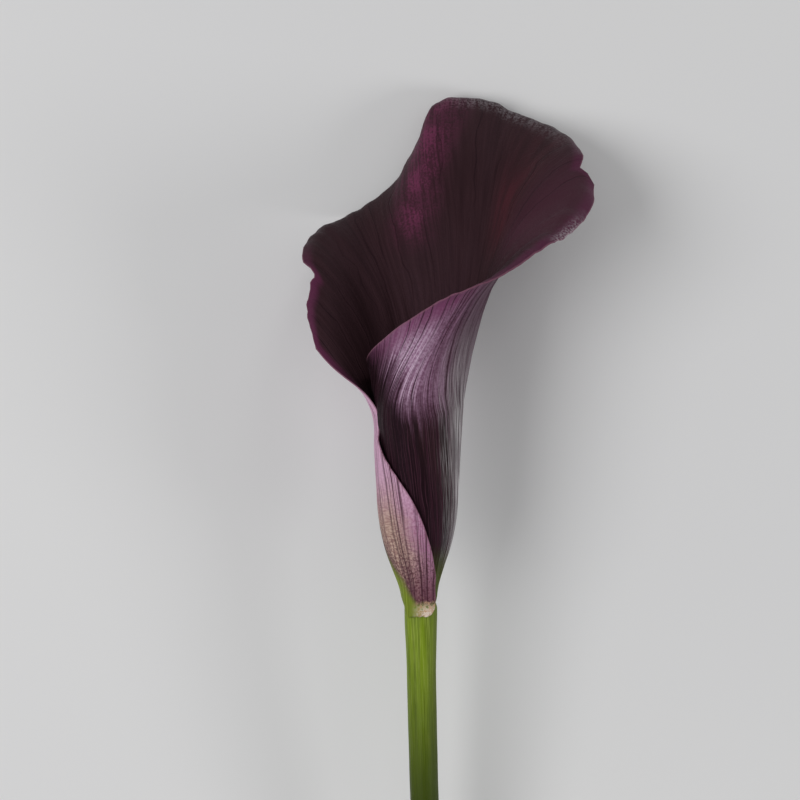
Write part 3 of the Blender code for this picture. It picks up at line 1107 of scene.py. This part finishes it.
def spadix_material():
    """Dark brown florets with paler tops and a few pale cells."""
    look = Look("spadix_skin")
    cells = look.noise(look.flower_place(), 2.5, 4.0)
    colour = look.two_tone(look.attribute("floret"), -0.2, 0.7, (46, 22, 30), (112, 62, 62))
    colour = look.mix(look.rise(cells, 0.5, 0.75, 0.0, 0.4), colour, srgb(150, 104, 80))
    return look.finish(colour, 0.65, look.bump(cells, 0.08), Specular_IOR_Level=0.35)


def floor_material():
    """Pale paper that fades out far from the flower."""
    look = Look("floor")
    place = look.node("TexCoord", {}).outputs["Object"]
    cloud = look.noise(place, 3.0, 2.0)
    colour = look.two_tone(cloud, 0.3, 0.7, (229, 229, 230), (233, 233, 233))
    away = look.node("VectorMath", {0: place}, operation="LENGTH").outputs["Value"]
    look.feed(look.shader.inputs["Alpha"], look.rise(away, FADE_START, FADE_END, 1.0, 0.0))
    return look.finish(colour, 0.9, look.bump(cloud, 0.01), Specular_IOR_Level=0.1)


# ---------------------------------------------------------------- assembly and studio


def place_piece(name, mesh, material, node):
    """A finished piece that rides on the flower's one body and stands for a node of the solid model."""
    mesh.materials.append(material)
    piece = bpy.data.objects.new(name, mesh)
    bpy.context.scene.collection.objects.link(piece)
    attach(piece, "root")
    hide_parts(node)
    return piece


def studio_floor():
    """A wide pale floor that fades into the studio's own grey, so that no horizon shows."""
    bpy.ops.mesh.primitive_circle_add(vertices=FLOOR_SIDES, radius=FLOOR_RADIUS, fill_type="NGON")
    floor = bpy.context.object
    floor.name = "floor"
    floor.data.materials.append(floor_material())


def soft_light(name, place, size, power):
    """A round softbox that faces the flower."""
    lamp = bpy.data.lights.new(name, "AREA")
    lamp.shape = "DISK"
    lamp.size = size
    lamp.energy = power
    light = bpy.data.objects.new(name, lamp)
    bpy.context.scene.collection.objects.link(light)
    light.location = place
    light.rotation_euler = (Vector(FUNNEL_MIDDLE) - light.location).to_track_quat("-Z", "Y").to_euler()


def studio_light():
    """Four softboxes, and a world that fills the shadows softly but shows as a lighter backdrop."""
    world = bpy.data.worlds.new("studio")
    bpy.context.scene.world = world
    world.use_nodes = True
    tree = world.node_tree
    background = tree.nodes["Background"]
    background.inputs["Color"].default_value = (1.0, 1.0, 1.0, 1.0)
    seen = tree.nodes.new("ShaderNodeLightPath")
    strength = tree.nodes.new("ShaderNodeMapRange")
    strength.inputs["To Min"].default_value = FILL_STRENGTH
    strength.inputs["To Max"].default_value = BACKDROP_STRENGTH
    tree.links.new(seen.outputs["Is Camera Ray"], strength.inputs["Value"])
    tree.links.new(strength.outputs[0], background.inputs["Strength"])
    for name, (place, size, power) in SOFTBOXES.items():
        soft_light(name, place, size, power)


def camera():
    """A long lens straight above the open side of the funnel."""
    lens = bpy.data.cameras.new("camera")
    lens.sensor_width = SENSOR_WIDTH
    lens.lens = SENSOR_WIDTH * CAMERA_PLACE[2] / FIELD_WIDTH
    lens.clip_start = CLIP_START
    seat = bpy.data.objects.new("camera", lens)
    bpy.context.scene.collection.objects.link(seat)
    seat.matrix_world = POSE @ Matrix.Translation([value * MM for value in CAMERA_PLACE])
    bpy.context.scene.camera = seat


POSE = flower_pose()
camera()
studio_floor()
studio_light()
place_piece("stem_skin", stem(), stem_material(), "stem")
place_piece("spathe_skin", spathe(), spathe_material(), "spathe")
place_piece("spadix_skin", spadix(), spadix_material(), "spadix")
bpy.context.scene.view_settings.view_transform = "Standard"
